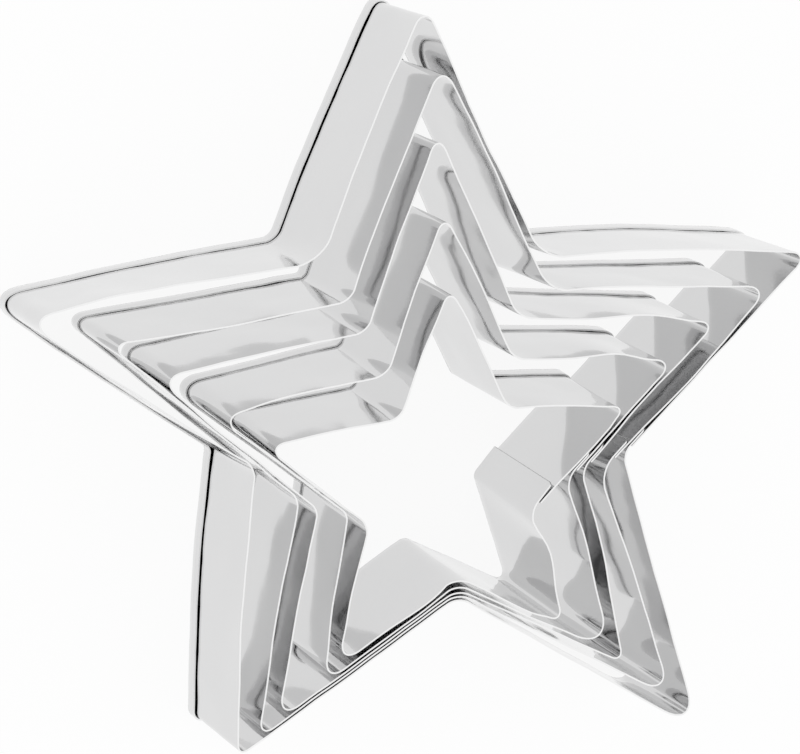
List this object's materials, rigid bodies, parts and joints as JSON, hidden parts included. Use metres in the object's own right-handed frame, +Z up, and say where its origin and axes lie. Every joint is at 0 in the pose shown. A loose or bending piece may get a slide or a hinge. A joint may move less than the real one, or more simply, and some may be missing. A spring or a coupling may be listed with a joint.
{
  "type": "nesting cookie cutter set",
  "caption": "Nesting star cookie cutters bent from polished steel strip, each with a rim folded outwards, a raw cutting edge and a lapped, spot-welded seam.",
  "frame": {"origin": "middle of the set's footprint, on the surface that the folded rims rest on", "axes": "+Z up from the rims to the cutting edges, +Y towards the top arm, +X towards the right arm"},
  "size_m": [0.1182, 0.1094, 0.025],
  "materials": {
    "polished_strip": "polished stainless strip"
  },
  "bodies": {
    "largest": {"largest_star_cutter": "polished_strip"},
    "large": {"large_star_cutter": "polished_strip"},
    "medium": {"medium_star_cutter": "polished_strip"},
    "small": {"small_star_cutter": "polished_strip"},
    "smallest": {"smallest_star_cutter": "polished_strip"}
  },
  "joints": [
    {"name": "large_lift", "type": "slide", "parent": "largest", "child": "large", "axis": [0, 0, 1], "range_m": [0, 0.035]},
    {"name": "medium_lift", "type": "slide", "parent": "large", "child": "medium", "axis": [0, 0, 1], "range_m": [0, 0.035]},
    {"name": "small_lift", "type": "slide", "parent": "medium", "child": "small", "axis": [0, 0, 1], "range_m": [0, 0.035]},
    {"name": "smallest_lift", "type": "slide", "parent": "small", "child": "smallest", "axis": [0, 0, 1], "range_m": [0, 0.035]}
  ]
}
